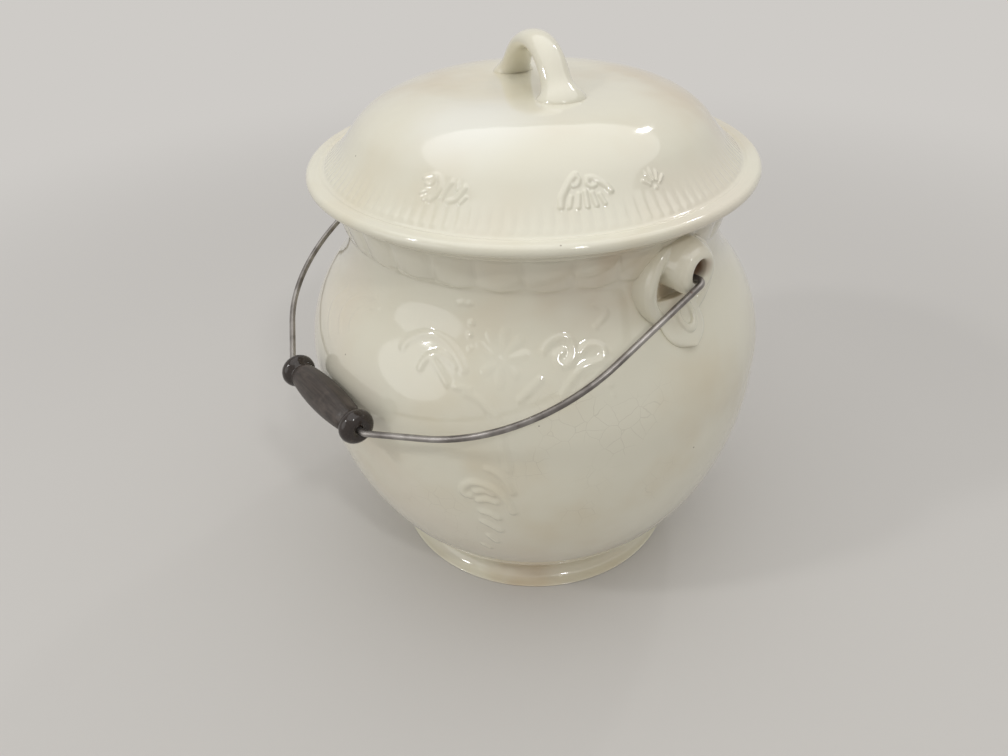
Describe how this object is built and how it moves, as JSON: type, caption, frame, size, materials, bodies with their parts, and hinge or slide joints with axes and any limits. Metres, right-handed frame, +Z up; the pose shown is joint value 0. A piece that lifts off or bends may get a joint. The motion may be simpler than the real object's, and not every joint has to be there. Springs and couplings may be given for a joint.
{
  "type": "lidded jar with bail handle",
  "caption": "Round glazed ceramic jar with a flared foot, fluted neck, two bored ears, a domed lid with a strap handle, and a swinging wire bail with a turned wooden grip.",
  "frame": {"origin": "centre of the foot ring on the surface the jar stands on", "axes": "+Z up along the jar's axis; the two ears are on +X and -X; the bail rests on the belly toward -Y"},
  "size_m": [0.266, 0.284, 0.3085],
  "materials": {
    "glazed_ironstone": "glossy cream-white glaze, faintly stained",
    "steel_wire": "dull grey oxidised steel wire",
    "turned_wood": "dark stained and polished wood"
  },
  "bodies": {
    "jar": {"jar_body": "glazed_ironstone", "foot_ring": "glazed_ironstone", "ear_left": "glazed_ironstone", "ear_right": "glazed_ironstone"},
    "lid": {"lid": "glazed_ironstone", "lid_handle": "glazed_ironstone"},
    "bail": {"bail_wire": "steel_wire"},
    "grip": {"bail_grip": "turned_wood"}
  },
  "joints": [
    {"name": "bail_swing", "type": "hinge", "parent": "jar", "child": "bail", "pos_m": [0, 0, 0.21701], "axis": [-1, 0, 0], "range_deg": [0, 230.2]},
    {"name": "grip_spin", "type": "hinge", "parent": "bail", "child": "grip", "pos_m": [0, -0.14162, 0.15065], "axis": [1, 0, 0], "continuous": true},
    {"name": "lid_lift", "type": "slide", "parent": "jar", "child": "lid", "axis": [0, 0, 1], "range_m": [0, 0.12]}
  ]
}
